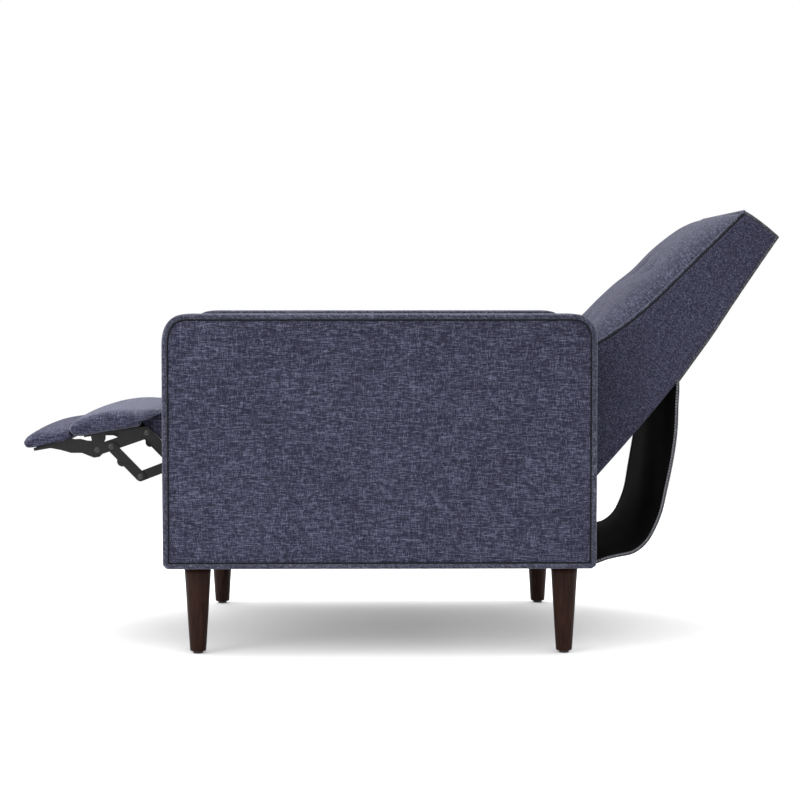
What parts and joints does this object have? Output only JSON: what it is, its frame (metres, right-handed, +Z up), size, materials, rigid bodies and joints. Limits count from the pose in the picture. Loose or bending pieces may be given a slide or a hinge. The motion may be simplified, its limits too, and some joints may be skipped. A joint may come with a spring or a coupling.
{
  "type": "recliner armchair",
  "caption": "Push-back recliner armchair with track arms, tapered legs, a reclining back and a linked two-part footrest, shown fully reclined.",
  "frame": {"origin": "on the floor, under the middle of the chair's box with the back reclined and the footrest out", "axes": "+Z up; +Y towards the rear of the chair, -Y the way a sitter faces; +X to the sitter's left"},
  "size_m": [0.705, 1.3687, 0.7947],
  "materials": {
    "fabric": "matte",
    "piping": "matte",
    "lining": "matte",
    "leg_wood": "satin",
    "frame_wood": "matte",
    "black_steel": "satin",
    "zinc_steel": "satin",
    "glide_plastic": "matte",
    "webbing": "matte"
  },
  "bodies": {
    "base": {"arm_cover_left": "fabric", "arm_cover_right": "fabric", "arm_piping_left": "piping", "arm_piping_right": "piping", "arm_frame_left": "frame_wood", "arm_frame_right": "frame_wood", "front_rail": "frame_wood", "rear_rail": "frame_wood", "rail_brackets": "black_steel", "leg_front_left": "leg_wood", "leg_front_right": "leg_wood", "leg_rear_left": "leg_wood", "leg_rear_right": "leg_wood", "leg_bolts": "zinc_steel", "foot_glides": "glide_plastic", "rear_flap": "lining", "base_plate_left": "black_steel", "base_plate_right": "black_steel", "plate_bolts": "zinc_steel", "base_pins": "zinc_steel", "recline_pins": "zinc_steel"},
    "seat": {"seat_front_rail": "frame_wood", "seat_rear_rail": "frame_wood", "seat_side_rail_left": "frame_wood", "seat_side_rail_right": "frame_wood", "seat_springs": "zinc_steel", "spring_clips": "black_steel", "seat_cushion": "fabric", "seat_plate_left": "black_steel", "seat_plate_right": "black_steel", "seat_pins": "zinc_steel"},
    "backrest": {"back_side_left": "frame_wood", "back_side_right": "frame_wood", "back_top_rail": "frame_wood", "back_lower_rail": "frame_wood", "back_webbing": "webbing", "back_cover": "fabric", "back_cushion": "fabric", "back_piping": "piping", "back_buttons": "piping", "back_bracket_left": "black_steel", "back_bracket_right": "black_steel", "lever_pins": "zinc_steel"},
    "push_link": {"push_links": "black_steel"},
    "rear_link": {"rear_links": "black_steel", "link_tube": "black_steel"},
    "main_link": {"main_links": "black_steel", "main_rivets": "zinc_steel"},
    "cross_link": {"cross_links": "black_steel", "cross_rivets": "zinc_steel"},
    "front_link": {"front_links": "black_steel"},
    "footrest": {"footrest_brackets": "black_steel", "footrest_board": "frame_wood", "footrest_pad": "fabric", "footrest_rivets": "zinc_steel"},
    "flipper": {"flipper_brackets": "black_steel", "flipper_board": "frame_wood", "flipper_pad": "fabric"}
  },
  "joints": [
    {"name": "recline", "type": "hinge", "parent": "base", "child": "backrest", "pos_m": [0, 0.172, 0.425], "axis": [1, 0, 0], "range_deg": [0, 32], "deforming": ["rear_flap"]},
    {"name": "seat_slide", "type": "slide", "parent": "base", "child": "seat", "axis": [0, 1, 0], "range_m": [0, 0.02]},
    {"name": "lever_pivot", "type": "hinge", "parent": "backrest", "child": "push_link", "pos_m": [0, 0.16199, 0.39011], "axis": [1, 0, 0], "range_deg": [-32, 0]},
    {"name": "rear_link_pivot", "type": "hinge", "parent": "base", "child": "rear_link", "pos_m": [0, -0.2796, 0.3585], "axis": [1, 0, 0], "range_deg": [0, 69.81]},
    {"name": "main_link_pivot", "type": "hinge", "parent": "seat", "child": "main_link", "pos_m": [0, -0.33686, 0.36574], "axis": [1, 0, 0], "range_deg": [0, 81.5]},
    {"name": "cross_pivot", "type": "hinge", "parent": "main_link", "child": "cross_link", "pos_m": [0, -0.40936, 0.33792], "axis": [1, 0, 0], "range_deg": [-68.57, 0]},
    {"name": "front_link_pivot", "type": "hinge", "parent": "main_link", "child": "front_link", "pos_m": [0, -0.47471, 0.31283], "axis": [1, 0, 0], "range_deg": [-68.57, 0]},
    {"name": "footrest_pivot", "type": "hinge", "parent": "cross_link", "child": "footrest", "pos_m": [0, -0.46215, 0.39259], "axis": [1, 0, 0], "range_deg": [0, 68.57]},
    {"name": "flipper_pivot", "type": "hinge", "parent": "footrest", "child": "flipper", "pos_m": [0, -0.5535, 0.361], "axis": [1, 0, 0], "range_deg": [0, 84]}
  ],
  "couplings": [
    {"joint": "seat_slide", "follows": "recline", "m_per_rad": 0.0358},
    {"joint": "lever_pivot", "follows": "recline", "ratio": -1},
    {"joint": "rear_link_pivot", "follows": "recline", "ratio": 2.1815},
    {"joint": "main_link_pivot", "follows": "recline", "ratio": 2.5468},
    {"joint": "cross_pivot", "follows": "recline", "ratio": -2.1428},
    {"joint": "front_link_pivot", "follows": "recline", "ratio": -2.1428},
    {"joint": "footrest_pivot", "follows": "recline", "ratio": 2.1428},
    {"joint": "flipper_pivot", "follows": "recline", "ratio": 2.625}
  ]
}
